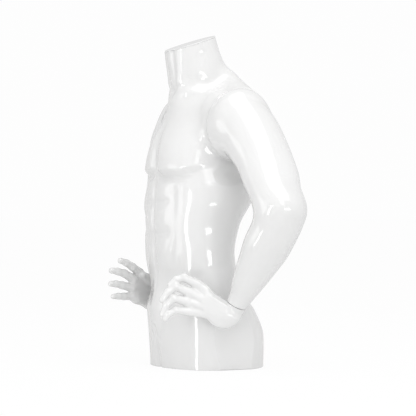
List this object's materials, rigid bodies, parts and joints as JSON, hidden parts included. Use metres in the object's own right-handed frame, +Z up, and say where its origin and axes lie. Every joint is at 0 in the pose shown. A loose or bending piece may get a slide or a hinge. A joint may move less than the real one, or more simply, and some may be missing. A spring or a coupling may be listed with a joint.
{
  "type": "half body display mannequin",
  "caption": "Headless male half-body display mannequin with hands on hips, hollow gloss shell, flat base with pole socket, turning pull-off arms and turning hands.",
  "frame": {"origin": "mouth of the pole socket in the plane of the flat base, on the figure's middle plane", "axes": "+Z up, the figure faces -Y, its left side is +X"},
  "size_m": [0.76, 0.3387, 0.8389],
  "materials": {
    "shell": "gloss white paint over glass-fibre laminate",
    "cap": "gloss white paint over cast resin",
    "board": "birch plywood, sealed",
    "steel": "zinc-plated steel",
    "screw": "bright zinc-plated screws",
    "nylon": "black nylon",
    "brass": "turned brass"
  },
  "bodies": {
    "torso": {"torso_shell": "shell", "neck_cap": "cap", "base_board": "board", "pole_socket": "steel", "pole_socket_screws": "screw", "left_shoulder_socket": "steel", "left_shoulder_socket_screws": "screw", "left_retaining_ring": "steel", "right_shoulder_socket": "steel", "right_shoulder_socket_screws": "screw", "right_retaining_ring": "steel"},
    "left_rotor": {"left_rotor": "nylon"},
    "left_arm": {"left_arm_shell": "shell", "left_arm_board": "board", "left_arm_peg": "steel", "left_arm_peg_screws": "screw", "left_wrist_bush": "brass", "left_wrist_bush_screws": "screw"},
    "left_hand": {"left_hand": "shell", "left_hand_spigot": "steel"},
    "right_rotor": {"right_rotor": "nylon"},
    "right_arm": {"right_arm_shell": "shell", "right_arm_board": "board", "right_arm_peg": "steel", "right_arm_peg_screws": "screw", "right_wrist_bush": "brass", "right_wrist_bush_screws": "screw"},
    "right_hand": {"right_hand": "shell", "right_hand_spigot": "steel"}
  },
  "joints": [
    {"name": "left_shoulder_turn", "type": "hinge", "parent": "torso", "child": "left_rotor", "pos_m": [0.142, 0.012, 0.604], "axis": [-1, 0, 0], "range_deg": [0, 75]},
    {"name": "left_arm_pull", "type": "slide", "parent": "left_rotor", "child": "left_arm", "axis": [1, 0, 0], "range_m": [0, 0.038]},
    {"name": "left_wrist_turn", "type": "hinge", "parent": "left_arm", "child": "left_hand", "pos_m": [0.213, -0.028, 0.165], "axis": [0.435, 0.2924, 0.8516], "range_deg": [0, 60]},
    {"name": "right_shoulder_turn", "type": "hinge", "parent": "torso", "child": "right_rotor", "pos_m": [-0.142, 0.012, 0.604], "axis": [-1, 0, 0], "range_deg": [0, 75]},
    {"name": "right_arm_pull", "type": "slide", "parent": "right_rotor", "child": "right_arm", "axis": [-1, 0, 0], "range_m": [0, 0.038]},
    {"name": "right_wrist_turn", "type": "hinge", "parent": "right_arm", "child": "right_hand", "pos_m": [-0.212, -0.028, 0.187], "axis": [0.4596, -0.3089, -0.8326], "range_deg": [0, 60]}
  ]
}
